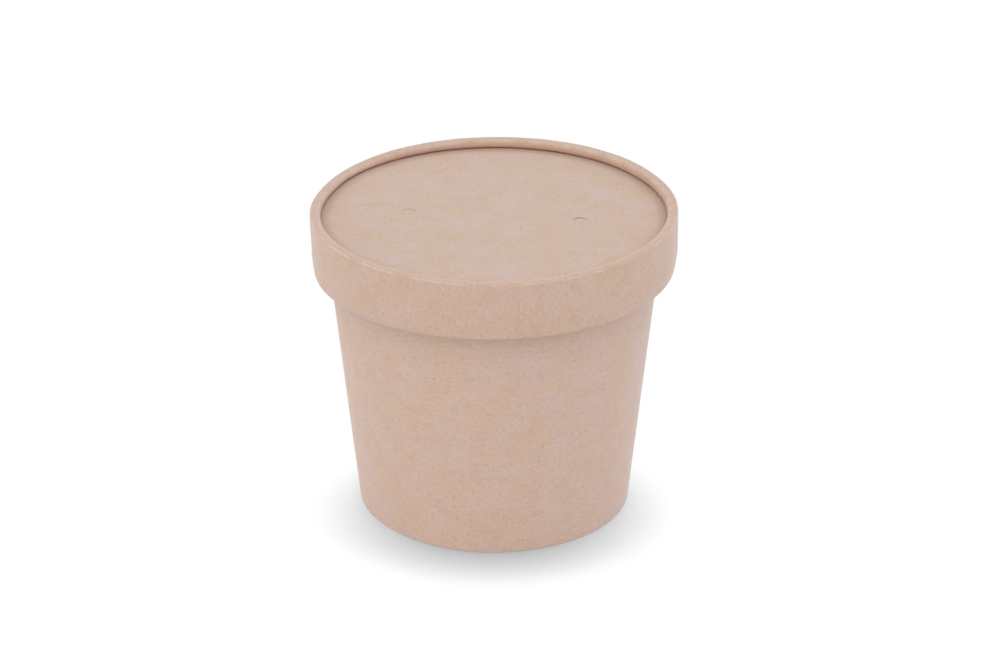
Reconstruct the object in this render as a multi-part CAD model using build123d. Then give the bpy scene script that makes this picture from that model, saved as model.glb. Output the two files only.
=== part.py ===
from build123d import *
import os
from math import acos, asin, atan2, ceil, cos, degrees, hypot, radians, sin, tan

# Paper ice cream tub with a press-on paper lid, in millimetres.
# The origin is the centre of the foot, on the surface the tub stands on. +Z is up the tub's axis.
# Every sheet is drawn as a path of straight runs and bends, given the board's thickness, and turned
# about the axis. A wound sheet starts under its own end, so its lap seam is two boards thick.
# A bend is drawn as even chords with their corners on its arc, and none leaves it by more than the sag.
BEND_SAG = 0.14

# Boards, and the adhesive between boards that are glued together
WALL_BOARD = 0.42
FLOOR_BOARD = 0.40
BAND_BOARD = 0.42
PANEL_BOARD = 0.40
GLUE_LINE = 0.05

# Cup wall
CUP_HEIGHT = 82.8
FOOT_RADIUS = 37.2  # where the outer face would meet the table, were the fold sharp
RIM_RADIUS = 48.32
RIM_ROLL = 1.3  # outer radius of the rolled rim's section
RIM_WRAP = 180.0  # degrees rolled at that radius
TUCK_ROLL = 1.0  # tighter radius of the roll's tucked end
TUCK_WRAP = 60.0
FOLD_RADIUS = 0.05  # inside the fold at the foot
HEM_HEIGHT = 5.3  # length of the board turned up inside the foot

# Cup floor
FLOOR_CLEARANCE = 7.0  # underside of the floor above the table
FLOOR_BEND = 0.42  # outer radius where the floor turns down into its flange
FLANGE_LIFT = 0.10  # lower edge of the flange above the bottom of the fold

# Lid band
BAND_HEIGHT = 16.5  # lower edge to crest
BEAD_ROLL = 1.4  # outer radius of the hollow bead round the crest
BEAD_WRAP = 225.0  # degrees from the outer face, over the crest and down to the panel
CURL_ROLL = 0.64  # outer radius of the curled lower edge
CURL_WRAP = 225.0
CURL_CLEARANCE = 0.15  # between the curled lower edge and the cup's rim

# Lid panel
SEAT_GAP = 0.10  # between the panel and the cup's rim
RECESS = 2.5  # crest to panel
PANEL_BEND = 0.45  # outer radius where the panel turns up into its flange
VENT_RADIUS = 1.75  # half-moon steam cuts, one each side of the axis
VENT_CUT = 0.2
VENT_SPACING = 46.7
VENT_TURN = -7.4  # degrees, of the line through the pair

# Lap seams: widths along the circumference, and the direction each seam faces from the axis
CUP_LAP = 7.0
BAND_LAP = 8.0
LAP_CLIMB = 3.0  # length over which the end of a sheet climbs onto its start
LAP_NOTCH = 1.0  # the corner of the cup's outer ply is clipped to this far above the fold
CUP_SEAM_AZIMUTH = 62.0
BAND_SEAM_AZIMUTH = 125.0

# Places that follow from the sizes above
RIM_CENTRE = (RIM_RADIUS - RIM_ROLL, CUP_HEIGHT - RIM_ROLL)
WALL_LEAN = degrees(
    atan2(RIM_CENTRE[0] - FOOT_RADIUS, RIM_CENTRE[1])
    - asin((RIM_ROLL - WALL_BOARD) / hypot(RIM_CENTRE[0] - FOOT_RADIUS, RIM_CENTRE[1]))
)
COS_LEAN = cos(radians(WALL_LEAN))
PANEL_UNDERSIDE = CUP_HEIGHT + SEAT_GAP
CREST = PANEL_UNDERSIDE + PANEL_BOARD + RECESS
BEAD_START = CREST - BEAD_ROLL
LID_RADIUS = RIM_RADIUS + CURL_CLEARANCE + 2 * CURL_ROLL
CURL_START = CREST - BAND_HEIGHT + CURL_ROLL


def moved(pose, move):
    """Pose after a move. A pose is radius, height and heading in degrees from outward, up positive.

    A move is (length, 0) for a straight run, or (bend radius, degrees) for a bend, left positive.
    """
    r, z, heading = pose
    size, angle = move
    if angle == 0:
        return r + size * cos(radians(heading)), z + size * sin(radians(heading)), heading
    side = 1 if angle > 0 else -1
    centre_r = r - side * size * sin(radians(heading))
    centre_z = z + side * size * cos(radians(heading))
    heading += angle
    new_r = centre_r + side * size * sin(radians(heading))
    new_z = centre_z - side * size * cos(radians(heading))
    return new_r, new_z, heading


def beside(pose, offset):
    """Point at an offset to the left of a pose, in the XZ half plane."""
    r, z, heading = pose
    return Vector(r - offset * sin(radians(heading)), 0, z + offset * cos(radians(heading)))


def chords(move):
    """The move as equal parts: a run stays whole, and a bend becomes its chords."""
    size, angle = move
    if angle == 0:
        return [move]
    longest = degrees(2 * acos(max(1 - BEND_SAG / size, 0)))
    count = ceil(abs(angle) / longest)
    return [(size, angle / count)] * count


def sheet(pose, moves, near, far):
    """Section of a board that follows the moves, between two offsets to the left of the path."""
    edges = [Line(beside(pose, near), beside(pose, far))]
    for move in moves:
        for part in chords(move):
            end = moved(pose, part)
            edges += [Line(beside(pose, offset), beside(end, offset)) for offset in (near, far)]
            pose = end
    edges.append(Line(beside(pose, near), beside(pose, far)))
    return Face(Wire(edges))


def turned(section, azimuth=0.0, degrees_round=360.0):
    """Solid swept by a section about the axis, from an azimuth on."""
    return Rot(0, 0, azimuth) * revolve(section, Axis.Z, degrees_round)


def wound(under, over, azimuth, lap, climb):
    """Sheet wound once round the axis: its end climbs over its start and is glued on it for the lap.

    Under and over are the sheet's section on the winding and on the lap. Lap and climb are in degrees.
    """
    winding = turned(under, azimuth, 360 - climb)
    climbing = loft([Rot(0, 0, azimuth - climb) * under, Rot(0, 0, azimuth) * over], ruled=True)
    return winding + climbing + turned(over, azimuth, lap)


def wall_food_radius(height):
    """Radius of the wall's inner face at a height above the table."""
    return FOOT_RADIUS - WALL_BOARD / COS_LEAN + height * tan(radians(WALL_LEAN))


def cup_wall():
    """Blank with a lap seam, a rim rolled outwards and a foot folded in and up round the floor's flange."""
    fold_start = FOOT_RADIUS - (FOLD_RADIUS + WALL_BOARD) * tan(radians(90 - WALL_LEAN) / 2)
    land = (FLOOR_BOARD + 2 * GLUE_LINE) / COS_LEAN - FOLD_RADIUS * (
        tan(radians(90 - WALL_LEAN) / 2) + tan(radians(90 + WALL_LEAN) / 2)
    )
    inward = (fold_start, WALL_BOARD, 180.0)
    hem = sheet(inward, [(land, 0), (FOLD_RADIUS, -90 - WALL_LEAN), (HEM_HEIGHT, 0)], 0, WALL_BOARD)
    outward = (fold_start, WALL_BOARD, 0.0)
    fold_move = (FOLD_RADIUS, 90 - WALL_LEAN)
    fold = sheet(outward, [fold_move], -WALL_BOARD, 0)
    wall_start = moved(outward, fold_move)
    run = (RIM_CENTRE[1] + RIM_ROLL * sin(radians(WALL_LEAN)) - wall_start[1]) / COS_LEAN
    roll = [(RIM_ROLL, -RIM_WRAP), (TUCK_ROLL, -TUCK_WRAP)]
    under = sheet(wall_start, [(run, 0), *roll], -WALL_BOARD, 0)
    notched = moved(wall_start, (LAP_NOTCH, 0))
    over = sheet(notched, [(run - LAP_NOTCH, 0), *roll], -2 * WALL_BOARD, -WALL_BOARD)
    middle_radius = (FOOT_RADIUS + RIM_RADIUS) / 2
    lap = degrees(CUP_LAP / middle_radius)
    climb = degrees(LAP_CLIMB / middle_radius)
    foot = turned(hem, CUP_SEAM_AZIMUTH) + turned(fold, CUP_SEAM_AZIMUTH)
    return foot + wound(under, over, CUP_SEAM_AZIMUTH, lap, climb)


def cup_floor():
    """Disc with a flange turned down, glued between the wall and the hem."""
    flange_foot = WALL_BOARD + FLANGE_LIFT
    start = (wall_food_radius(flange_foot) - GLUE_LINE / COS_LEAN, flange_foot, 90 - WALL_LEAN)
    corner_run = (FLOOR_CLEARANCE + FLOOR_BOARD - flange_foot) / COS_LEAN
    moves = [
        (corner_run - FLOOR_BEND * tan(radians(90 + WALL_LEAN) / 2), 0),
        (FLOOR_BEND, 90 + WALL_LEAN),
    ]
    bend_end = moved(moved(start, moves[0]), moves[1])
    return turned(sheet(start, [*moves, (bend_end[0], 0)], 0, FLOOR_BOARD))


def lid_band():
    """Skirt with a lap seam, a hollow bead rolled inwards round the crest and a lower edge curled in."""
    skirt = [(BEAD_START - CURL_START, 0)]
    skirt_foot = (LID_RADIUS, CURL_START, 90.0)
    under = sheet(skirt_foot, skirt, 0, BAND_BOARD)
    over = sheet(skirt_foot, skirt, -BAND_BOARD, 0)
    lap = degrees(BAND_LAP / LID_RADIUS)
    climb = degrees(LAP_CLIMB / LID_RADIUS)
    bead = sheet((LID_RADIUS, BEAD_START, 90.0), [(BEAD_ROLL, BEAD_WRAP)], 0, BAND_BOARD)
    curl = sheet((LID_RADIUS, CURL_START, -90.0), [(CURL_ROLL, -CURL_WRAP)], -BAND_BOARD, 0)
    ends = turned(bead, BAND_SEAM_AZIMUTH) + turned(curl, BAND_SEAM_AZIMUTH)
    return ends + wound(under, over, BAND_SEAM_AZIMUTH, lap, climb)


def vent_cut(side):
    """Half-moon cut through the panel, its round side to the back. Side is -1 for left, 1 for right."""
    ring = Circle(VENT_RADIUS + VENT_CUT / 2) - Circle(VENT_RADIUS - VENT_CUT / 2)
    back_half = Pos(0, VENT_RADIUS) * Rectangle(4 * VENT_RADIUS, 2 * VENT_RADIUS)
    cutter = extrude(ring & back_half, PANEL_BOARD * 2, both=True)
    place = Pos(0, 0, PANEL_UNDERSIDE) * Rot(0, 0, VENT_TURN) * Pos(side * VENT_SPACING / 2, 0)
    return place * cutter


def lid_panel():
    """Disc with a flange turned up inside the band, and a pair of steam cuts."""
    start = (LID_RADIUS - BAND_BOARD - GLUE_LINE, BEAD_START, -90.0)
    moves = [(BEAD_START - PANEL_UNDERSIDE - PANEL_BEND, 0), (PANEL_BEND, -90)]
    bend_end = moved(moved(start, moves[0]), moves[1])
    disc = turned(sheet(start, [*moves, (bend_end[0], 0)], -PANEL_BOARD, 0))
    return disc - vent_cut(-1) - vent_cut(1)


os.makedirs("parts", exist_ok=True)
PIECES = {"cup_wall": cup_wall, "cup_floor": cup_floor, "lid_band": lid_band, "lid_panel": lid_panel}
for node, make in PIECES.items():
    export_step(make(), f"parts/{node}.step")
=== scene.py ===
from math import atan2, asin, ceil, cos, degrees, hypot, radians, sin, tan

import bmesh
import bpy
import numpy as np
from mathutils.geometry import delaunay_2d_cdt
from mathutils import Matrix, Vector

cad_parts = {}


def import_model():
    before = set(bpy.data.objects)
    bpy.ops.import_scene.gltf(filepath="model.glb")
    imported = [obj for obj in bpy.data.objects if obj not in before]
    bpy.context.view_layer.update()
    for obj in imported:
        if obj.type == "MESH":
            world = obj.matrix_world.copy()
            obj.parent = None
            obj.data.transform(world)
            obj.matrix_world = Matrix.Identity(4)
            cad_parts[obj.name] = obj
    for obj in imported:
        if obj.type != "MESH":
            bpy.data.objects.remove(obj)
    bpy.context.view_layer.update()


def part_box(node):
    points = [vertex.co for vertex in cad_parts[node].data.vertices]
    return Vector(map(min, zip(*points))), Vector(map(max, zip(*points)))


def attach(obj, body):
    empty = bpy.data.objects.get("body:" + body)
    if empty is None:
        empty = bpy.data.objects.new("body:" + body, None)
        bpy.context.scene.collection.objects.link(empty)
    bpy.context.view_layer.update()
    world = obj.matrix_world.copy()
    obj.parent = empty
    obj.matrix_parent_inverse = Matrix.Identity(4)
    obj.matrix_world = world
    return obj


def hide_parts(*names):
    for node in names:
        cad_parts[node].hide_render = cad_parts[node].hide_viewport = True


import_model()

# Sizes are in millimetres and angles in degrees. Meshes are written in metres.
MM = 0.001


def node_corners(node):
    """Lowest and highest corner of a CAD node, in millimetres."""
    return [np.array(corner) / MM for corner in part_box(node)]


# Driving sizes, read from the frame
CUP_HEIGHT = node_corners("cup_wall")[1][2]
RIM_RADIUS = node_corners("cup_wall")[1][0]
FLOOR_TOP = node_corners("cup_floor")[1][2]
FLANGE_FOOT = node_corners("cup_floor")[0][2]
LID_RADIUS = node_corners("lid_band")[1][0]
CREST = node_corners("lid_band")[1][2]
BAND_FOOT = node_corners("lid_band")[0][2]
PANEL_UNDERSIDE, FLANGE_TOP = (corner[2] for corner in node_corners("lid_panel"))

# Boards, and the glue between them
WALL_BOARD = 0.42
FLOOR_BOARD = 0.40
BAND_BOARD = 0.42
PANEL_BOARD = 0.40
GLUE_LINE = 0.05

# Bends of the boards
FOOT_RADIUS = 37.2
FOLD_RADIUS = 0.05
HEM_HEIGHT = 5.3
RIM_ROLL = 1.3
RIM_WRAP = 180.0
TUCK_ROLL = 1.0
TUCK_WRAP = 60.0
FLOOR_BEND = 0.42
CREST_ROLL = 0.75  # outer radius of the tight turn at the crest
CREST_WRAP = 95.0
CREST_RUN = 1.1  # the bead's top, nearly level
SHOULDER_ROLL = 0.9
SHOULDER_WRAP = 75.0
BEAD_DROP = 0.82  # the bead's inner side
TUCK_UNDER = 0.45  # outer radius of its turned-under end
TUCK_UNDER_WRAP = 120.0
CURL_ROLL = 0.64
CURL_WRAP = 225.0
PANEL_BEND = 0.45

# Lap seams
CUP_LAP = 7.0
BAND_LAP = 8.0
LAP_CLIMB = 3.0
CUP_SEAM_AZIMUTH = 62.0
BAND_SEAM_AZIMUTH = 125.0
BEAD_LAP_SHARE = 0.10  # of the lap's step that still shows where the bead is rolled
LAP_FADE = 1.2  # length over which the step comes and goes along the board
CUT_WIDTH = 0.06  # the board's cut edge leans this much
CLIMB_STEPS = 9  # across the climb

# The floor's contact shadow: the light comes down and from behind
SHADOW_REACH = 25.0  # what is nearer than this hides light from the floor
SHADOW_LEAN = 50.0  # how far behind the tub the light leans from overhead
SHADOW_SHARE = 0.2  # a smaller hidden share of the light isn't noticed
SHADOW_DEPTH = 1.02  # shadow for each share hidden beyond that
SHADOW_SAMPLES = 16

# Steam cuts, the left one and the right one
SIDES = (-1, 1)
VENT_RADIUS = 1.75
VENT_CUTS = (0.16, 0.20)  # the left cut has closed a little
VENT_SPACING = 46.7
VENT_TURN = -7.4
VENT_PRESSES = (0.06, 0.20)  # how far each flap is pressed in

# What handling and pressing leave in the paper. Directions are round the axis, with 0 to the right.
LID_TILT = 0.0072  # the band sits this much higher per millimetre to the right
LID_PIVOT = 31.2  # and is level with its seat this far to the left of the axis
PANEL_TILT = 0.0012  # the panel, which the cup's rim holds back
LID_SPREAD = 0.2  # the cup's rim spreads the band
LID_DENTS = (  # direction, width in degrees, height, reach up and down, and depth
    (181.0, 13.0, 74.5, 6.5, 0.42),
    (162.0, 12.0, 86.0, 8.0, 0.50),
    (27.0, 14.0, 86.0, 6.0, 0.25),
)
FOOT_DENTS = (  # the foot is pressed in at one place and bulges at the next
    (-146.0, 20.0, 0.0, 12.0, 0.35),
    (-97.0, 18.0, 0.0, 12.0, -0.30),
)
TURN_IN = 0.70  # the band's lower edge is drawn in by this much
TURN_DOWN = 0.2  # and down
TURN_HEIGHT = 6.5  # over this height
KNOCKS = (  # places where the crest is pressed down: direction, width along it, and depth
    (-90.0, 24.0, 0.32),
    (143.0, 16.0, 0.38),
    (2.0, 1.3, 0.16),
    (-34.0, 1.3, 0.12),
    (-48.0, 1.3, 0.10),
)
PANEL_RISE = 0.18  # the panel stands off its seat
RISE_WIDTH = 1.8  # of the panel's slope under the bead
PANEL_SAG = 0.18
PANEL_SAG_RADIUS = 45.0

# Unevenness round the axis: from how many waves to how many, the height and the seed
LID_OVAL = ((2, 6), 0.07, 11)
CUP_OVAL = ((2, 7), 0.10, 23)
FINE_CRIMPS = ((40, 150), 0.022, 31)
BROAD_CRIMPS = ((9, 40), 0.03, 32)
PANEL_WAVES = ((2, 5), 0.04, 41)
LEAST_WEIGHT = 0.4  # of a wave, where the most is 1

# Mesh spacing
RUN_STEP = 2.2
BEND_STEP = 11.25
ROUND_STEPS = 540
MERGE = 0.0005  # points nearer than this are one
CRISP_EDGE = 50.0  # degrees between faces, above which the edge is crisp
FAR_FACE = 400.0  # the far face's place in the map
PLAN_STEP = 2.0  # between the panel's rings of points
FINE_FROM = 46.5  # radius from which they are closer
FINE_STEP = 0.8
RING_LEAST = 8  # points in a ring, and how many more for each millimetre of radius
RING_MORE = 3.2
VENT_CLEAR = 2.4  # the rings keep this many vent radii from a steam cut's centre
VENT_RINGS = (0.25, 0.55, 0.8, 1.3, 1.7, 2.1)  # rings of points round that centre, in vent radii
VENT_RING_POINTS = 32
VENT_EDGE_POINTS = 25  # along one edge of a cut
SNAP = 1e-6  # plan points nearer than this are one

# Derived places
WALL_LEAN = degrees(
    atan2(RIM_RADIUS - RIM_ROLL - FOOT_RADIUS, CUP_HEIGHT - RIM_ROLL)
    - asin((RIM_ROLL - WALL_BOARD) / hypot(RIM_RADIUS - RIM_ROLL - FOOT_RADIUS, CUP_HEIGHT - RIM_ROLL))
)
COS_LEAN = cos(radians(WALL_LEAN))
CURL_START = BAND_FOOT + CURL_ROLL
CREST_START = radians(CURL_WRAP) * CURL_ROLL + CREST - CREST_ROLL - CURL_START  # along the band's board
SHOULDER_START = CREST_START + radians(CREST_WRAP) * CREST_ROLL + CREST_RUN
DROP_START = SHOULDER_START + radians(SHOULDER_WRAP) * SHOULDER_ROLL
PANEL_EDGE = LID_RADIUS - BAND_BOARD - GLUE_LINE - PANEL_BEND


def linear(hex_colour):
    """sRGB hex to linear RGBA: each channel c becomes c / 12.92, or ((c + 0.055) / 1.055) to the 2.4."""
    channels = np.array([int(hex_colour[i : i + 2], 16) / 255 for i in (1, 3, 5)])
    low = channels / 12.92
    high = ((channels + 0.055) / 1.055) ** 2.4
    return (*np.where(channels <= 0.04045, low, high), 1.0)


def smooth(t):
    """Smooth step: 3 t squared less 2 t cubed, with t held from 0 to 1."""
    t = np.clip(t, 0, 1)
    return t * t * (3 - 2 * t)


def wobble(theta, waves, height, seed):
    """Sum of cosines round the axis, one for each whole number of waves, with seeded phases."""
    rng = np.random.default_rng(seed)
    waves = np.arange(*waves)
    phases = rng.uniform(0, 2 * np.pi, len(waves))
    weights = rng.uniform(LEAST_WEIGHT, 1, len(waves))
    ripples = np.cos(np.multiply.outer(theta, waves) + phases) * weights
    return height * ripples.sum(-1) / np.sqrt((weights**2).sum())


def before(pose, move):
    """Pose from which a move leads to the given pose: radius, height and heading in degrees."""
    r, z, heading = pose
    size, angle = move
    start = radians(heading - angle)
    end = radians(heading)
    if angle == 0:
        return r - size * cos(end), z - size * sin(end), heading
    side = np.sign(angle)
    r -= side * size * (sin(end) - sin(start))
    z += side * size * (cos(end) - cos(start))
    return r, z, heading - angle


def board_path(pose, moves):
    """One face of a board in section, as rows of radius, height, heading and length along it.

    A run (length, 0) adds length times (cos, sin) of the heading. A bend (radius, degrees) adds radius
    times the change of (sin, -cos) of the heading, and its sign says to which side it turns.
    """
    rows = [np.array([[pose[0], pose[1], radians(pose[2]), 0.0]])]
    for size, angle in moves:
        r, z, heading, along = rows[-1][-1]
        if angle == 0:
            t = np.linspace(0, size, ceil(size / RUN_STEP) + 1)[1:]
            row = (r + t * cos(heading), z + t * sin(heading), heading + 0 * t, along + t)
        else:
            h = heading + np.linspace(0, radians(angle), ceil(abs(angle) / BEND_STEP) + 1)[1:]
            side = np.sign(angle)
            row = (
                r + side * size * (np.sin(h) - sin(heading)),
                z - side * size * (np.cos(h) - cos(heading)),
                h,
                along + size * np.abs(h - heading),
            )
        rows.append(np.column_stack(row))
    return np.concatenate(rows).T


def seam_turn(azimuth, lap, climb, radius):
    """Directions once round the axis for a board wound over its own start.

    From azimuth less climb to azimuth the board climbs by a smooth step. Its start lies under the lap, so
    the inner step ends at azimuth and the outer one after the lap. Gives theta and the two steps, from 0
    to 1.
    """
    cut, lap, climb = (degrees(length / radius) for length in (CUT_WIDTH, lap, climb))
    step = 360 / ROUND_STEPS
    theta = np.concatenate((
        np.linspace(azimuth - climb, azimuth, CLIMB_STEPS),
        np.linspace(azimuth + cut, azimuth + lap, ceil(lap / step)),
        np.linspace(azimuth + lap + cut, azimuth - climb + 360, ROUND_STEPS, endpoint=False),
    ))
    share = smooth((theta - azimuth + climb) / climb)
    inner = np.where(theta <= azimuth, share, 0)
    outer = np.where(theta <= azimuth + lap, share, 0)
    return radians(1) * theta, inner, outer


def level_turn():
    """Directions once round the axis for a board without a seam."""
    return np.linspace(0, 2 * np.pi, ROUND_STEPS, endpoint=False)


def grid_faces(rows, columns, close_columns=True):
    """Quads between neighbouring points of a grid whose rows wrap round, and whose columns may.

    Gives the quads, and the row and the column of each corner, which count on past the last.
    """
    last = columns if close_columns else columns - 1
    i, j = np.meshgrid(np.arange(rows), np.arange(last), indexing="ij")
    row = np.stack((i, i, i + 1, i + 1), axis=-1).reshape(-1, 4)
    column = np.stack((j, j + 1, j + 1, j), axis=-1).reshape(-1, 4)
    return row % rows * columns + column % columns, (row, column)


def polar(theta, r, z):
    """Points at directions, radii and heights."""
    return np.stack((r * np.cos(theta), r * np.sin(theta), z + 0 * theta), axis=-1)


def board_ring(path, theta, near, far, shape):
    """Closed ring of board: the section's two faces, swept round the axis.

    A point of a face lies at the path's point plus its offset times the path's left normal, (-sin, cos) of
    the heading. The section runs up the near face, over the cut edge and back down the far face. Shape
    moves the points. The map's u is the length round the axis at the path's mean radius, and v the length
    along the board, with the far face's v set far from the near one's. Gives the points, the faces, the
    map and which faces are far ones.
    """
    r, z, heading, along = path
    order = np.concatenate((np.arange(len(r)), np.arange(len(r))[::-1]))
    offsets = np.concatenate((near, far[:, ::-1]), axis=1)
    radius = r[order] - offsets * np.sin(heading[order])
    height = z[order] + offsets * np.cos(heading[order])
    angle = np.broadcast_to(theta[:, None], radius.shape)
    points = shape(angle, radius, height)
    faces, (row, column) = grid_faces(*radius.shape)
    turn = np.append(theta, theta[0] + 2 * np.pi)
    v = np.concatenate((along, FAR_FACE + along[::-1], along[:1]))
    uv = np.stack((turn[row] * r.mean(), v[column]), axis=-1)
    is_far = column[:, 0] >= len(r)
    return points.reshape(-1, 3), faces, uv, is_far


def new_piece(name, points, faces, uv, materials, face_material=None):
    """Mesh object from arrays in millimetres, with a map, board_mm, that has one unit to a millimetre."""
    mesh = bpy.data.meshes.new(name)
    mesh.from_pydata(points * MM, [], faces.tolist() if isinstance(faces, np.ndarray) else faces)
    layer = mesh.uv_layers.new(name="board_mm")
    layer.data.foreach_set("uv", np.ascontiguousarray(uv, np.float32).ravel())
    for material in materials:
        mesh.materials.append(material)
    if face_material is not None:
        mesh.polygons.foreach_set("material_index", np.asarray(face_material, np.int32))
    close_seams(mesh)
    piece = bpy.data.objects.new(name, mesh)
    bpy.context.scene.collection.objects.link(piece)
    return piece


def close_seams(mesh):
    """Merges points that lie together, turns the faces outwards and keeps cut edges crisp."""
    work = bmesh.new()
    work.from_mesh(mesh)
    bmesh.ops.remove_doubles(work, verts=work.verts, dist=MERGE * MM)
    bmesh.ops.recalc_face_normals(work, faces=work.faces)
    work.to_mesh(mesh)
    work.free()
    mesh.shade_smooth()
    mesh.set_sharp_from_angle(angle=radians(CRISP_EDGE))


# Shapes that the paper takes


def pressed_in(theta, z, dents):
    """Depth to which dents press a board in: each is a bell curve round the axis times one in height."""
    press = 0
    for azimuth, width, height, reach, depth in dents:
        apart = np.angle(np.exp(1j * (theta - radians(azimuth)))) / radians(width)
        press = press + depth * np.exp(-(apart**2) - ((z - height) / reach) ** 2)
    return press


def near_edge(r, edge):
    """1 at the edge's radius and beyond, and its share to the fourth power within."""
    return np.clip(r / edge, 0, 1) ** 4


def lid_shape(theta, r, z, tilt):
    """The lid's place and handling: spread by the rim, dented, and higher on the right.

    The lower edge is drawn in and down by a smooth step squared. Each knock presses the crest down by a
    bell curve. The height gained is the tilt times the distance to the right of the pivot.
    """
    drawn = smooth((BAND_FOOT + TURN_HEIGHT - z) / TURN_HEIGHT) ** 2
    gain = LID_SPREAD + wobble(theta, *LID_OVAL) - pressed_in(theta, z, LID_DENTS) - TURN_IN * drawn
    r = r + near_edge(r, LID_RADIUS) * gain
    z = z - TURN_DOWN * drawn
    on_crest = smooth((z - CREST + 2 * SHOULDER_ROLL) / SHOULDER_ROLL)
    for azimuth, width, depth in KNOCKS:
        along = LID_RADIUS * np.angle(np.exp(1j * (theta - radians(azimuth))))
        z = z - depth * on_crest * np.exp(-((along / width) ** 2))
    return polar(theta, r, z + tilt * (r * np.cos(theta) + LID_PIVOT))


def cup_shape(theta, r, z):
    """The cup's wall: its waves times a half sine from stiff foot to stiff rim, less the foot's dents."""
    slack = np.sin(np.pi * np.clip(z / CUP_HEIGHT, 0, 1))
    dented = near_edge(r, FOOT_RADIUS) * pressed_in(theta, z, FOOT_DENTS)
    return polar(theta, r + wobble(theta, *CUP_OVAL) * slack - dented, z)


# Pieces


def wall_board():
    """The cup's wall, from the hem's edge down, round the fold and up to the rolled rim's tucked end.

    A fold takes its radius times the tangent of half its angle from the straight board on each side of it.
    The seam's steps come in by a smooth step above the foot.
    """
    fold = (FOLD_RADIUS, 90 - WALL_LEAN)
    fold_start = FOOT_RADIUS - (FOLD_RADIUS + WALL_BOARD) * tan(radians(90 - WALL_LEAN) / 2)
    land = (FLOOR_BOARD + 2 * GLUE_LINE) / COS_LEAN - FOLD_RADIUS * (
        tan(radians(90 - WALL_LEAN) / 2) + tan(radians(90 + WALL_LEAN) / 2)
    )
    hem = [(HEM_HEIGHT, 0), (FOLD_RADIUS, 90 + WALL_LEAN), (land, 0)]
    hem_top = (fold_start, WALL_BOARD, 0.0)
    for move in reversed(hem):
        hem_top = before(hem_top, move)
    roll_height = CUP_HEIGHT - RIM_ROLL + RIM_ROLL * sin(radians(WALL_LEAN))
    wall_foot = WALL_BOARD + FOLD_RADIUS * (1 - sin(radians(WALL_LEAN)))
    run = ((roll_height - wall_foot) / COS_LEAN, 0)
    path = board_path(hem_top, [*hem, fold, run, (RIM_ROLL, -RIM_WRAP), (TUCK_ROLL, -TUCK_WRAP)])
    theta, inner, outer = seam_turn(CUP_SEAM_AZIMUTH, CUP_LAP, LAP_CLIMB, RIM_RADIUS)
    along = path[3]
    wall_start = HEM_HEIGHT + FOLD_RADIUS * np.pi + land
    lapped = smooth((along - wall_start) / LAP_FADE)
    near = -WALL_BOARD * np.outer(inner, lapped)
    far = -WALL_BOARD * (1 + np.outer(outer, lapped))
    return board_ring(path, theta, near, far, cup_shape)


def floor_board():
    """The cup's floor, from the flange's foot up, round the bend and in to the axis.

    The wall's food face widens by the tangent of its lean with height, and the flange is glued to it.
    """
    food_radius = FOOT_RADIUS - WALL_BOARD / COS_LEAN + FLANGE_FOOT * tan(radians(WALL_LEAN))
    start = (food_radius - GLUE_LINE / COS_LEAN, FLANGE_FOOT, 90 - WALL_LEAN)
    flange = (FLOOR_TOP - FLANGE_FOOT) / COS_LEAN - FLOOR_BEND * tan(radians(90 + WALL_LEAN) / 2)
    bend = board_path(start, [(flange, 0), (FLOOR_BEND, 90 + WALL_LEAN)])
    path = board_path(start, [(flange, 0), (FLOOR_BEND, 90 + WALL_LEAN), (bend[0][-1], 0)])
    theta = level_turn()
    sides = np.zeros((len(theta), path.shape[1]))
    points, faces, uv, is_far = board_ring(path, theta, sides, sides + FLOOR_BOARD, cup_shape)
    return points, faces, points[faces][..., :2], is_far


def band_board():
    """The lid's band, from the curl's tip round and up the skirt, over the bead and down to the panel.

    Each step along the board is a smooth one: the lap's, which is pressed flat below the bead, the crimps'
    and the one from the band's tilt to the panel's on the bead's inner side.
    """
    curl = (CURL_ROLL, CURL_WRAP)
    curl_tip = before((LID_RADIUS, CURL_START, 90.0), curl)
    skirt = CREST - CREST_ROLL - CURL_START
    crest = [(CREST_ROLL, CREST_WRAP), (CREST_RUN, 0), (SHOULDER_ROLL, SHOULDER_WRAP)]
    bead = [*crest, (BEAD_DROP, 0), (TUCK_UNDER, TUCK_UNDER_WRAP)]
    path = board_path(curl_tip, [curl, (skirt, 0), *bead])
    theta, inner, outer = seam_turn(BAND_SEAM_AZIMUTH, BAND_LAP, LAP_CLIMB, LID_RADIUS)
    along = path[3]
    skirt_start = radians(CURL_WRAP) * CURL_ROLL
    skirt_end = skirt_start + skirt
    on_bead = smooth((along - skirt_end) / LAP_FADE)
    pressed_flat = smooth((along - skirt_end + LAP_FADE) / LAP_FADE)
    lapped = smooth((along - skirt_start) / LAP_FADE) * (1 - (1 - BEAD_LAP_SHARE) * pressed_flat)
    crimp = np.outer(wobble(theta, *FINE_CRIMPS) + wobble(theta, *BROAD_CRIMPS), on_bead)
    near = crimp - BAND_BOARD * np.outer(outer, lapped)
    far = crimp + BAND_BOARD * (1 - np.outer(inner, lapped))
    held = smooth((along - DROP_START) / BEAD_DROP)
    tilt = LID_TILT + (PANEL_TILT - LID_TILT) * np.concatenate((held, held[::-1]))
    return board_ring(path, theta, near, far, lambda *place: lid_shape(*place, tilt))


def vent_frame(side):
    """Centre of a steam cut and the unit vectors of its width and of its round side."""
    turn = radians(VENT_TURN)
    across = np.array((cos(turn), sin(turn)))
    return side * VENT_SPACING / 2 * across, across, np.array((-across[1], across[0]))


def vent_local(points, side):
    """Distance and angle of plan points from a steam cut's centre."""
    centre, across, back = vent_frame(side)
    away = points - centre
    x, y = away @ across, away @ back
    return np.hypot(x, y), np.arctan2(y, x)


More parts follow.
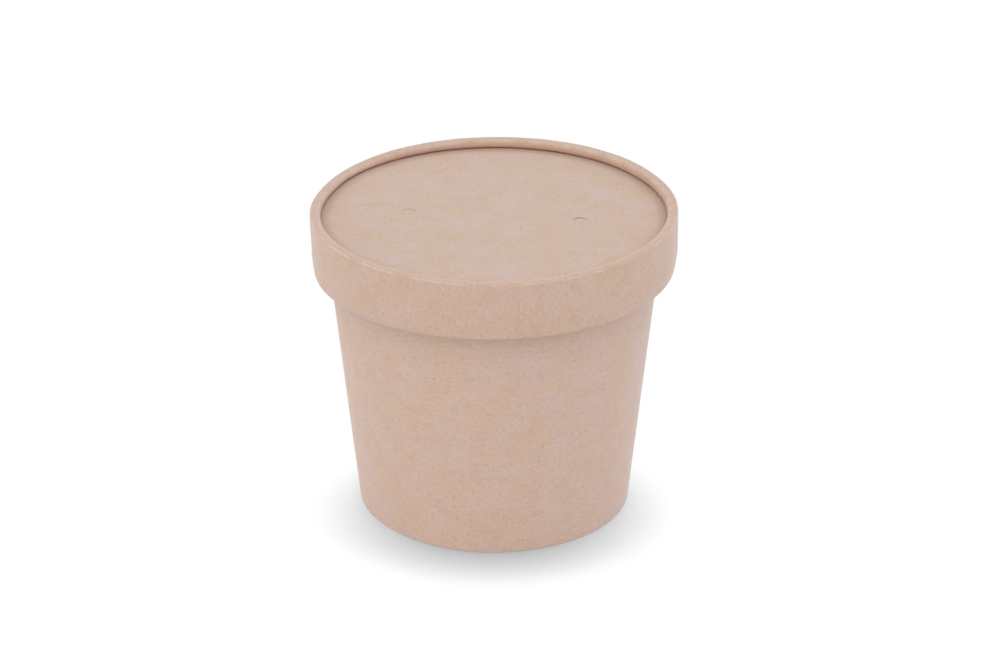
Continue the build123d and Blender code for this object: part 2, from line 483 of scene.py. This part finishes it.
def vent_points(side, radius, angles):
    """Plan points round a steam cut's centre: it plus radius times (cos, sin) of the angles."""
    centre, across, back = vent_frame(side)
    return centre + radius * (np.outer(np.cos(angles), across) + np.outer(np.sin(angles), back))


def panel_plan(theta):
    """Plan of the panel: rings of points, closer round the steam cuts, joined by Delaunay triangles.

    Each cut's outline is a constraint, and the triangles inside it are left out. Gives points, triangles,
    and the cuts' outlines as lists of point numbers.
    """
    broad = np.arange(PLAN_STEP, FINE_FROM - PLAN_STEP / 2, PLAN_STEP)
    fine = np.arange(FINE_FROM, PANEL_EDGE - FINE_STEP / 2, FINE_STEP)
    rings = [
        r * np.exp(1j * np.linspace(0, 2 * np.pi, int(RING_LEAST + RING_MORE * r), endpoint=False))
        for r in (*broad, *fine)
    ]
    spread = np.concatenate([[0j], *rings])
    spread = np.column_stack((spread.real, spread.imag))
    for side in SIDES:
        spread = spread[vent_local(spread, side)[0] > VENT_CLEAR * VENT_RADIUS]
    edge = PANEL_EDGE * np.column_stack((np.cos(theta), np.sin(theta)))
    parts = [edge]
    edges = [np.column_stack((np.arange(len(edge)), np.roll(np.arange(len(edge)), -1)))]
    outlines = []
    half = np.linspace(0, np.pi, VENT_EDGE_POINTS)
    whole = np.linspace(0, 2 * np.pi, VENT_RING_POINTS, endpoint=False)
    for side, cut in zip(SIDES, VENT_CUTS):
        start = sum(map(len, parts))
        outer = vent_points(side, VENT_RADIUS + cut / 2, half)
        inner = vent_points(side, VENT_RADIUS - cut / 2, half[::-1])
        parts.append(np.concatenate((outer, inner)))
        outline = start + np.arange(2 * len(half))
        outlines.append(outline)
        edges.append(np.column_stack((outline, np.roll(outline, -1))))
        parts += [vent_points(side, share * VENT_RADIUS, whole) for share in VENT_RINGS]
    parts.append(spread)
    plan = np.concatenate(parts)
    made = delaunay_2d_cdt(plan.tolist(), np.concatenate(edges).tolist(), [], 0, SNAP)
    triangles = np.array(made[2])
    middles = plan[triangles].mean(axis=1)
    keep = np.ones(len(triangles), bool)
    for side, cut in zip(SIDES, VENT_CUTS):
        away, angle = vent_local(middles, side)
        keep &= ~((np.abs(away - VENT_RADIUS) < cut / 2) & (angle > 0))
    return plan, triangles[keep], outlines


def panel_height(plan):
    """Height that the panel gains at plan points.

    It rises from its edge by a smooth step and sags by (1 - share squared) squared, where share is the
    radius over the sag's. Its waves go as 4 times share squared times (1 - share squared). Each steam
    cut's flap goes down in proportion to the distance from its fold.
    """
    r, theta = np.hypot(*plan.T), np.arctan2(plan[:, 1], plan[:, 0])
    share = np.clip(r / PANEL_SAG_RADIUS, 0, 1)
    height = PANEL_RISE * smooth((PANEL_EDGE - r) / RISE_WIDTH) - PANEL_SAG * (1 - share**2) ** 2
    height += wobble(theta, *PANEL_WAVES) * share**2 * (1 - share**2) * 4
    for side, press in zip(SIDES, VENT_PRESSES):
        away, angle = vent_local(plan, side)
        on_flap = (away < VENT_RADIUS) & (angle > 0)
        height -= np.where(on_flap, press * away * np.sin(angle) / VENT_RADIUS, 0)
    return height


def panel_board():
    """The lid's panel: the flange glued in the band, the bend, and the disc with its steam cuts.

    Flange and bend are a path turned about the axis. The disc is its plan at two heights, a board apart,
    with walls along the cuts. The tilt goes from the panel's to the band's by a smooth step up the flange.
    """
    path = board_path(
        (LID_RADIUS - BAND_BOARD - GLUE_LINE, FLANGE_TOP, -90.0),
        [(FLANGE_TOP - PANEL_UNDERSIDE - PANEL_BEND, 0), (PANEL_BEND, -90)],
    )
    theta = level_turn()
    r, z, heading, _ = path
    order = np.concatenate((np.arange(len(r))[::-1], np.arange(len(r))))
    offset = np.repeat((0.0, -PANEL_BOARD), len(r))
    radius = np.broadcast_to(r[order] - offset * np.sin(heading[order]), (len(theta), 2 * len(r)))
    height = np.broadcast_to(z[order] + offset * np.cos(heading[order]), radius.shape)
    angle = np.broadcast_to(theta[:, None], radius.shape)
    flange = polar(angle, radius, height).reshape(-1, 3)
    flange_faces = grid_faces(*radius.shape, close_columns=False)[0]
    plan, triangles, outlines = panel_plan(theta)
    gain = panel_height(plan)
    under = np.column_stack((plan, PANEL_UNDERSIDE + gain))
    top = np.column_stack((plan, PANEL_UNDERSIDE + PANEL_BOARD + gain))
    first_under, first_top = len(flange), len(flange) + len(plan)
    walls = []
    for outline in outlines:
        a, b = outline, np.roll(outline, -1)
        walls.append(np.column_stack((first_top + a, first_top + b, first_under + b, first_under + a)))
    points = np.concatenate((flange, under, top))
    faces = [*flange_faces.tolist(), *np.concatenate(walls).tolist()]
    faces += (first_under + triangles[:, ::-1]).tolist() + (first_top + triangles).tolist()
    uv = points[np.concatenate(faces)][:, :2]
    panel_top = PANEL_UNDERSIDE + PANEL_BOARD
    up_flange = smooth((points[:, 2] - panel_top) / (FLANGE_TOP - panel_top))
    tilt = PANEL_TILT + (LID_TILT - PANEL_TILT) * up_flange
    theta, r = np.arctan2(points[:, 1], points[:, 0]), np.hypot(points[:, 0], points[:, 1])
    return lid_shape(theta, r, points[:, 2], tilt), faces, uv


# Finishes


def add_node(tree, kind, inputs=None, **settings):
    """Adds a node, sets its properties, and gives each named input a value or a link."""
    made = tree.nodes.new(kind)
    for key, value in settings.items():
        setattr(made, key, value)
    for key, value in (inputs or {}).items():
        if isinstance(value, bpy.types.NodeSocket):
            tree.links.new(value, made.inputs[key])
        else:
            made.inputs[key].default_value = value
    return made


# Patterns in the kraft: the size of a feature in millimetres, its length for its width, its place in the
# random field, and its levels of detail and how much it is stirred
PATTERNS = {
    "grain": (0.75, 1.3, 5.0, {"Detail": 3.0}),
    "streaks": (0.8, 1.9, 9.0, {"Detail": 2.0, "Distortion": 0.6}),
    "clouds": (4.5, 1.2, 2.0, {"Detail": 4.0}),
    "drift": (10.0, 1.0, 7.0, {"Detail": 2.0}),
    "wear": (5.0, 1.0, 21.0, {"Detail": 1.0}),
}

# What they show, between which two values: from one tone of the board to the other, where it has worn, and
# the colours that lie over it, with their strengths
DRIFTS = (0.38, 0.62)
WEARS = (0.36, 0.60)
TONES = (
    ("clouds", 0.45, 0.75, "#b58f77", 0.19),
    ("streaks", 0.50, 0.75, "#e6d0c0", 0.26),
    ("grain", 0.55, 0.78, "#94705a", 0.38),
)

# Flecks, pale fibres and brown specks: size, length for width, place, share of the cells that hold one,
# colour and strength
FLECKS = (
    (1.1, 1.7, 3.0, 0.30, "#efdccd", 0.26),
    (1.2, 1.2, 17.0, 0.22, "#8a664c", 0.30),
)
FLECK_REACH = 0.22  # of a cell's width
FLECK_CORE = 0.35  # of its reach has its full colour
FLECK_BEND_SIZE = 3.0  # millimetres, of the field that bends a fleck
FLECK_BEND_SHARE = 0.12

# Strips and rings of the lid's board: from where to where, and how much they are changed. The crest
# and shoulder strips are painted highlight, with some wear on the crest. The panel's ring and the band's
# raw edge are painted shade of the crevice under the bead.
# Painted highlight. The crest's strip is painted paler where its tight turn catches the light, and partly
# shows the wear of the stretched board. The shoulder's strip is painted paler where the bead's inner
# shoulder faces the light.
CREST_HIGHLIGHT_AND_WEAR = (CREST_START + 0.05, CREST_START + 0.75, 0.36)
SHOULDER_PAINTED_HIGHLIGHT = (SHOULDER_START - 0.1, DROP_START + 0.2, 0.25)
HIGHLIGHT_STRIP_FADE = 0.3  # width over which a strip of painted highlight and wear comes and goes
# Painted shade: the panel is painted browner and darker towards its edge, as the shade of the crevice
# under the bead
PAINTED_RING_SHADE = (PANEL_EDGE - 5.0, PANEL_EDGE - 1.7, 0.52)
# The band's turned-under end is raw and browner, and is painted darker there as the shade in the crevice
# under the bead
RAW_EDGE_AND_CREVICE_SHADE = (DROP_START + 0.25, DROP_START + 1.25, 0.72)
# Paler colour of the painted highlight, with wear on the crest
HIGHLIGHT_AND_WEAR_COLOUR = "#ecd6c6"
# Browner colour of the painted crevice shade at the panel's edge
RING_SHADE_COLOUR = "#a06c45"
# Colour of the raw edge, which is also the painted crevice shade
RAW_EDGE_SHADE_COLOUR = "#a06c48"

# Roughness and sheen. Bare board is matt with a soft nap. Its clear food-side coating shines a little.
BARE = (0.62, 0.3)
COATED = (0.38, 0.05)


def kraft_board(name, tones, lay, face, highlight_and_wear=(), painted_ring_shade=(), raw_edge_and_shade=()):
    """Uncoated machine-made kraft board: matt and cloudy, with pale fibres and brown specks.

    Lay is the direction in which the fibres run on the map: 0 along u, 90 along v. Sizes are in
    millimetres. Single fibres are about 0.04 mm wide, too fine to show, so they are drawn as coarse as
    they need. The last three arguments list where colour stands in for light and shade. The first lists
    strips of the map, from v to v, that are painted paler: a painted highlight along the bead's bends,
    with some wear where a tight bend has stretched the board. The second lists distances from the axis
    between which the panel is painted browner towards its edge: painted shade of the crevice under the
    bead. The third lists from which v to which the board nears its turned-under edge, which is raw and
    browner and is painted darker there as the crevice's shade. The last number of each is its strength.
    """
    material = bpy.data.materials.new(name)
    material.use_nodes = True
    tree = material.node_tree
    tree.nodes.clear()
    place = add_node(tree, "ShaderNodeUVMap", uv_map="board_mm").outputs["UV"]

    def pattern(size, along, shift):
        """The map, scaled so that a pattern's feature is size across and along times that lengthways."""
        turn = {"Vector": place, "Rotation": (0, 0, radians(-lay))}
        turned = add_node(tree, "ShaderNodeMapping", turn).outputs[0]
        scale = (1 / (size * along), 1 / size, 1)
        moved = {"Vector": turned, "Location": (shift, shift, shift), "Scale": scale}
        return add_node(tree, "ShaderNodeMapping", moved).outputs[0]

    def flecks(size, along, shift, share):
        """Spans that show short strokes: near the middles of bent cells, of which a share are chosen."""
        field = {"Vector": pattern(FLECK_BEND_SIZE, 1.0, shift), "Scale": 1.0, "Detail": 1.0}
        bend = add_node(tree, "ShaderNodeTexNoise", field).outputs["Color"]
        mixed = {"Factor": FLECK_BEND_SHARE, "A": pattern(size, along, shift), "B": bend}
        bent = add_node(tree, "ShaderNodeMix", mixed, data_type="VECTOR").outputs[1]
        cells = add_node(tree, "ShaderNodeTexVoronoi", {"Vector": bent, "Scale": 1.0})
        drawn = {0: cells.outputs["Color"], 1: share}
        chosen = add_node(tree, "ShaderNodeMath", drawn, operation="LESS_THAN").outputs[0]
        return (cells.outputs["Distance"], FLECK_REACH, FLECK_REACH * FLECK_CORE), (chosen, 0.0, 1.0)

    def laid_over(colour, tone, strength, *spans):
        """Colour with a tone over it, by the strength times the share that each span shows.

        A span is a field with two values. It shows (field - first) / (second - first), held from 0 to 1.
        """
        share = strength
        for field, first, second in spans:
            span = {"Value": field, "From Min": first, "From Max": second}
            shown = add_node(tree, "ShaderNodeMapRange", span, clamp=True).outputs["Result"]
            both = {0: shown, 1: share}
            share = add_node(tree, "ShaderNodeMath", both, operation="MULTIPLY").outputs[0]
        mixed = {"Factor": share, "A": colour, "B": linear(tone)}
        return add_node(tree, "ShaderNodeMix", mixed, data_type="RGBA").outputs[2]

    fields = {}
    for field, (size, along, shift, settings) in PATTERNS.items():
        inputs = {"Vector": pattern(size, along, shift), "Scale": 1.0, **settings}
        fields[field] = add_node(tree, "ShaderNodeTexNoise", inputs).outputs["Fac"]
    v = add_node(tree, "ShaderNodeSeparateXYZ", {"Vector": place}).outputs["Y"]
    away = add_node(tree, "ShaderNodeVectorMath", {0: place}, operation="LENGTH").outputs["Value"]

    warm, cool = tones
    colour = laid_over(linear(warm), cool, 1.0, (fields["drift"], *DRIFTS))
    for field, first, second, tone, strength in TONES:
        colour = laid_over(colour, tone, strength, (fields[field], first, second))
    for *fleck, tone, strength in FLECKS:
        colour = laid_over(colour, tone, strength, *flecks(*fleck))
    # Painted highlight along the bead's bends, broken up by the wear pattern
    for start, end, strength in highlight_and_wear:
        strip = ((v, start, start + HIGHLIGHT_STRIP_FADE), (v, end, end - HIGHLIGHT_STRIP_FADE))
        colour = laid_over(colour, HIGHLIGHT_AND_WEAR_COLOUR, strength, *strip, (fields["wear"], *WEARS))
    # Painted shade of the crevice: a browner ring that darkens towards the panel's edge
    for start, end, strength in painted_ring_shade:
        colour = laid_over(colour, RING_SHADE_COLOUR, strength, (away, start, end))
    # Browner raw edge, darkened as painted shade of the crevice
    for start, end, strength in raw_edge_and_shade:
        colour = laid_over(colour, RAW_EDGE_SHADE_COLOUR, strength, (v, start, end))

    fibres = {0: fields["grain"], 1: fields["streaks"]}
    height = add_node(tree, "ShaderNodeMath", fibres, operation="ADD").outputs[0]
    relief = {"Strength": 0.55, "Distance": 0.05 * MM, "Height": height}
    bump = add_node(tree, "ShaderNodeBump", relief).outputs[0]
    roughness, sheen = face
    paper = {"Base Color": colour, "Roughness": roughness, "IOR": 1.45, "Normal": bump}
    nap = {"Sheen Weight": sheen, "Sheen Roughness": 0.45}
    shader = add_node(tree, "ShaderNodeBsdfPrincipled", {**paper, **nap})
    add_node(tree, "ShaderNodeOutputMaterial", {"Surface": shader.outputs[0]})
    return material


def seen_share(tree):
    """1 for a ray that the eye sees straight, off something glossy or through something clear, else 0."""
    path = add_node(tree, "ShaderNodeLightPath")
    seen = path.outputs["Is Camera Ray"]
    for ray in ("Is Glossy Ray", "Is Transmission Ray"):
        either = {0: seen, 1: path.outputs[ray]}
        seen = add_node(tree, "ShaderNodeMath", either, operation="MAXIMUM").outputs[0]
    return seen


def pale_floor():
    """Matt white studio paper, on which the tub leaves a soft grey contact shadow and no colour.

    It lights the tub as plain matt paper. The eye sees it white, less the share of the sky that the tub
    hides from it, and only so far as something that is near hides it: 1 less the depth times what the
    hidden share has over the unnoticed one.
    """
    material = bpy.data.materials.new("pale_floor")
    material.use_nodes = True
    tree = material.node_tree
    tree.nodes.clear()
    paint = add_node(tree, "ShaderNodeBsdfDiffuse", {"Color": linear("#f7f7f7")})
    lean = radians(SHADOW_LEAN)
    light_from = add_node(tree, "ShaderNodeCombineXYZ", {"Y": sin(lean), "Z": cos(lean)}).outputs[0]
    reach = {"Distance": SHADOW_REACH * MM, "Normal": light_from}
    open_sky = add_node(tree, "ShaderNodeAmbientOcclusion", reach, samples=SHADOW_SAMPLES).outputs["AO"]
    darkest = 1 - SHADOW_DEPTH * (1 - SHADOW_SHARE)
    fade = {"Value": open_sky, "From Max": 1 - SHADOW_SHARE, "To Min": darkest}
    white = add_node(tree, "ShaderNodeMapRange", fade)
    glow = add_node(tree, "ShaderNodeEmission", {"Color": (1, 1, 1, 1), "Strength": white.outputs[0]})
    both = add_node(tree, "ShaderNodeMixShader", {0: seen_share(tree), 1: paint.outputs[0]})
    tree.links.new(glow.outputs[0], both.inputs[2])
    add_node(tree, "ShaderNodeOutputMaterial", {"Surface": both.outputs[0]})
    return material


# The band's strips of painted highlight, with wear on the crest
HIGHLIGHT_AND_WEAR_STRIPS = (CREST_HIGHLIGHT_AND_WEAR, SHOULDER_PAINTED_HIGHLIGHT)
# The panel carries painted crevice shade at its edge
lid_face = kraft_board("kraft_lid_panel", ("#cdb099", "#ceb3a4"), 0, BARE, painted_ring_shade=[PAINTED_RING_SHADE])
# The band also carries painted crevice shade at its raw turned-under edge
lid_side = kraft_board("kraft_lid_band", ("#ceaf98", "#cfb1a1"), 90, BARE, HIGHLIGHT_AND_WEAR_STRIPS, raw_edge_and_shade=[RAW_EDGE_AND_CREVICE_SHADE])
cup_side = kraft_board("kraft_cup_wall", ("#d2b39d", "#d2b5a7"), 0, BARE)
cup_lining = kraft_board("lined_kraft_cup_inside", ("#cdae97", "#cfb3a4"), 0, COATED)


# The pieces, each on its body and in place of its node


def dressed(name, parts, materials, face_material, body, node):
    """Makes a piece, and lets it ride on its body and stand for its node."""
    points, faces, uv = parts
    piece = new_piece(name, points, faces, uv, materials, face_material)
    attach(piece, body)
    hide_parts(node)


*wall, outside = wall_board()
*disc, food_side = floor_board()
*band, _ = band_board()
dressed("wall_board", wall, [cup_lining, cup_side], outside, "cup", "cup_wall")
dressed("floor_board", disc, [cup_side, cup_lining], food_side, "cup", "cup_floor")
dressed("band_board", band, [lid_side], None, "lid", "lid_band")
dressed("panel_board", panel_board(), [lid_face], None, "lid", "lid_panel")


# Floor, light and camera

FLOOR_HALF = 3000.0
corners = FLOOR_HALF * np.array(((-1, -1, 0), (1, -1, 0), (1, 1, 0), (-1, 1, 0)))
floor = new_piece("pale_floor", corners, [[0, 1, 2, 3]], corners[:, :2], [pale_floor()])

WORLD_LEVEL = 0.70
scene = bpy.context.scene
scene.view_settings.view_transform = "Standard"
scene.world = bpy.data.worlds.new("white_studio")
scene.world.use_nodes = True
tree = scene.world.node_tree
tree.nodes.clear()
seen_white = {"Value": seen_share(tree), "To Min": WORLD_LEVEL, "To Max": 1.0}
level = add_node(tree, "ShaderNodeMapRange", seen_white).outputs[0]
glow = add_node(tree, "ShaderNodeBackground", {"Color": (1, 1, 1, 1), "Strength": level})
add_node(tree, "ShaderNodeOutputWorld", {"Surface": glow.outputs[0]})


LAMP_DISTANCE = 1500
COOL = (0.86, 0.96, 1.22)


def soft_box(name, azimuth, elevation, size, level, colour=(1, 1, 1)):
    """Square studio lamp that faces the tub. Its level is what it adds to a white card that faces it.

    Its power is that level times the square of pi times its distance in metres.
    """
    lamp = bpy.data.lights.new(name, "AREA")
    lamp.color = colour
    lamp.size = size * MM
    lamp.energy = level * (np.pi * LAMP_DISTANCE * MM) ** 2
    holder = bpy.data.objects.new(name, lamp)
    around, up = radians(azimuth), radians(elevation)
    towards = np.array((cos(up) * cos(around), cos(up) * sin(around), sin(up)))
    holder.location = (LAMP_DISTANCE * towards + (0, 0, CUP_HEIGHT / 2)) * MM
    holder.rotation_euler = (radians(90 - elevation), 0, radians(azimuth + 90))
    bpy.context.scene.collection.objects.link(holder)


soft_box("soft_box_front", -95, 55, 800, 0.20)
soft_box("soft_box_left", -165, 12, 1000, 0.15)
soft_box("soft_box_right", -10, 12, 1000, 0.10, COOL)
soft_box("soft_box_behind_left", 130, 28, 700, 0.05)
soft_box("soft_box_behind_right", 50, 28, 700, 0.10, COOL)

CAMERA_PLACE = np.array((1.63, -1113.3, 570.9))
CAMERA_DOWN = 25.144
CAMERA_LENS = 161.33
camera = bpy.data.objects.new("camera", bpy.data.cameras.new("camera"))
camera.data.lens = CAMERA_LENS
camera.data.sensor_width = 36.0
camera.data.clip_start = 0.05
camera.data.clip_end = 20.0
camera.location = CAMERA_PLACE * MM
camera.rotation_euler = (radians(90 - CAMERA_DOWN), 0, 0)
scene.collection.objects.link(camera)
scene.camera = camera
